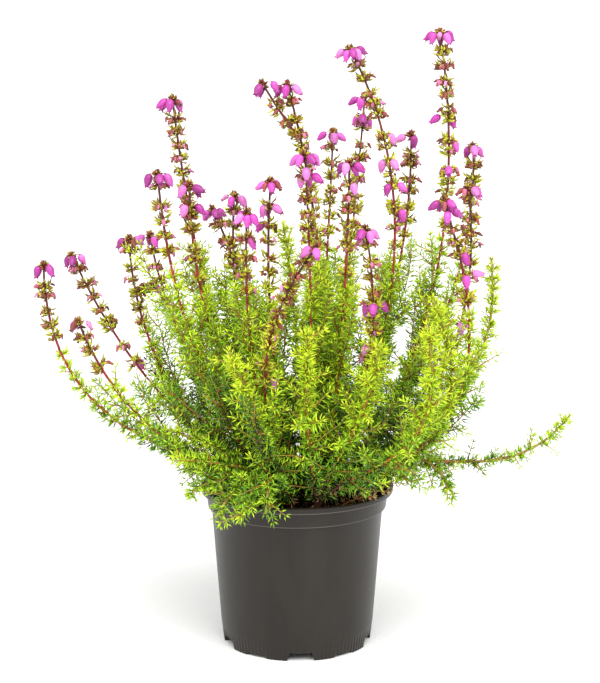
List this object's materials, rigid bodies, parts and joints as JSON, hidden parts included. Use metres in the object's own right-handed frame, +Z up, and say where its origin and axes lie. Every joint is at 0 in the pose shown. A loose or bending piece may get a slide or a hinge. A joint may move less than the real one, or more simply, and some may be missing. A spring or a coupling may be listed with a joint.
{
  "type": "potted bell heather",
  "caption": "Bell heather plant in a round nursery pot: needled leafy stems in compost, most of them topped by a spike of nodding bell flowers.",
  "frame": {"origin": "middle of the pot's underside, on the surface that the pot stands on", "axes": "+Z up along the pot's axis, -Y towards the front, +X to the right as seen from the front"},
  "size_m": [0.2919, 0.1839, 0.333],
  "materials": {
    "pot": "warm dark grey moulded plastic, semi-matt",
    "compost": "dark peat compost, matt and crumbly",
    "leaf": "lime green needles on brown to crimson stems, softly satin",
    "bell": "magenta pink bells with darker mouths, satin"
  },
  "bodies": {
    "root": {"pot": "pot", "compost": "compost", "leafy_stem_01": "leaf", "leafy_stem_02": "leaf", "leafy_stem_03": "leaf", "leafy_stem_04": "leaf", "leafy_stem_05": "leaf", "leafy_stem_06": "leaf", "leafy_stem_07": "leaf", "leafy_stem_08": "leaf", "leafy_stem_09": "leaf", "leafy_stem_10": "leaf", "leafy_stem_11": "leaf", "leafy_stem_12": "leaf", "leafy_stem_13": "leaf", "leafy_stem_14": "leaf", "leafy_stem_15": "leaf", "leafy_stem_16": "leaf", "leafy_stem_17": "leaf", "leafy_stem_18": "leaf", "leafy_stem_19": "leaf", "leafy_stem_20": "leaf", "leafy_stem_21": "leaf", "leafy_stem_22": "leaf", "leafy_stem_23": "leaf", "leafy_stem_24": "leaf", "leafy_stem_25": "leaf", "leafy_stem_26": "leaf", "leafy_stem_27": "leaf", "green_stem_1": "leaf", "green_stem_2": "leaf", "green_stem_3": "leaf", "front_clump_left": "leaf", "front_clump_right": "leaf", "flower_spike_01": "bell", "flower_spike_02": "bell", "flower_spike_03": "bell", "flower_spike_04": "bell", "flower_spike_05": "bell", "flower_spike_06": "bell", "flower_spike_07": "bell", "flower_spike_08": "bell", "flower_spike_09": "bell", "flower_spike_10": "bell", "flower_spike_11": "bell", "flower_spike_12": "bell", "flower_spike_14": "bell", "flower_spike_15": "bell", "flower_spike_16": "bell", "flower_spike_17": "bell", "flower_spike_18": "bell", "flower_spike_19": "bell", "flower_spike_20": "bell", "flower_spike_21": "bell", "flower_spike_22": "bell", "flower_spike_23": "bell", "flower_spike_24": "bell", "flower_spike_25": "bell", "flower_spike_27": "bell"}
  },
  "joints": []
}
